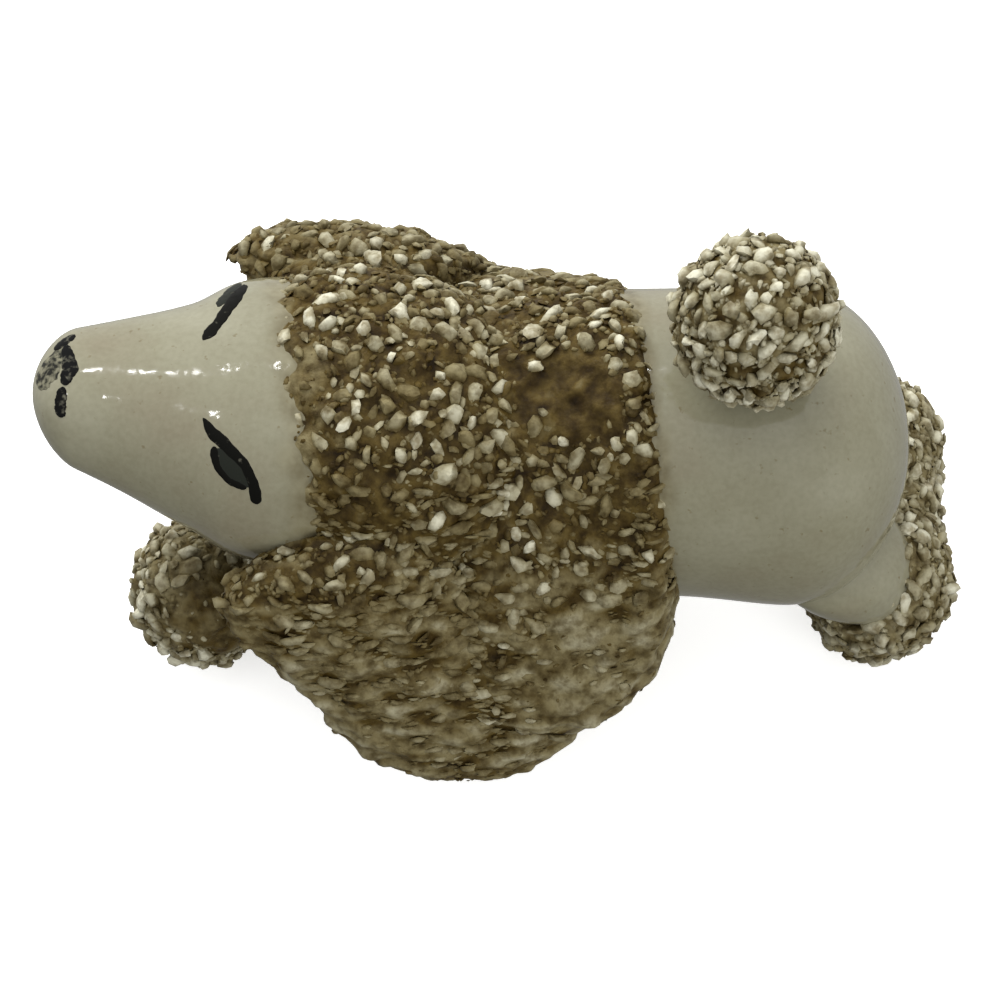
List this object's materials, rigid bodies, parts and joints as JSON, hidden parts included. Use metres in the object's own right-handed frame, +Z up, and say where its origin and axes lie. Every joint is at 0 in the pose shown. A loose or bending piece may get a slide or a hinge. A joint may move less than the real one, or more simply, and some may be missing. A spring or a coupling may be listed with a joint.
{
  "type": "poodle figurine",
  "caption": "Glazed ceramic poodle figurine in a low crouch, with grit-coated topknot, ears, mane, leg cuffs and tail ball; stands on its paws as a shelf ornament.",
  "frame": {"origin": "on the table under the middle of the figure's outline", "axes": "+Z up, +X from the nose to the rump, -Y to the dog's left"},
  "size_m": [0.1, 0.0628, 0.0611],
  "materials": {
    "glaze": "gloss ivory glaze",
    "slip": "satin brown slip",
    "grit": "rough cream grit over brown slip"
  },
  "bodies": {
    "root": {"trunk": "glaze", "head": "glaze", "tail": "glaze", "left_ear": "slip", "right_ear": "slip", "front_left_leg": "glaze", "front_right_leg": "glaze", "hind_left_leg": "glaze", "hind_right_leg": "glaze", "topknot_coat": "grit", "left_ear_coat": "grit", "right_ear_coat": "grit", "mane_coat": "grit", "front_left_cuff": "grit", "front_right_cuff": "grit", "hind_left_cuff": "grit", "hind_right_cuff": "grit", "tail_pompom": "grit"}
  },
  "joints": []
}
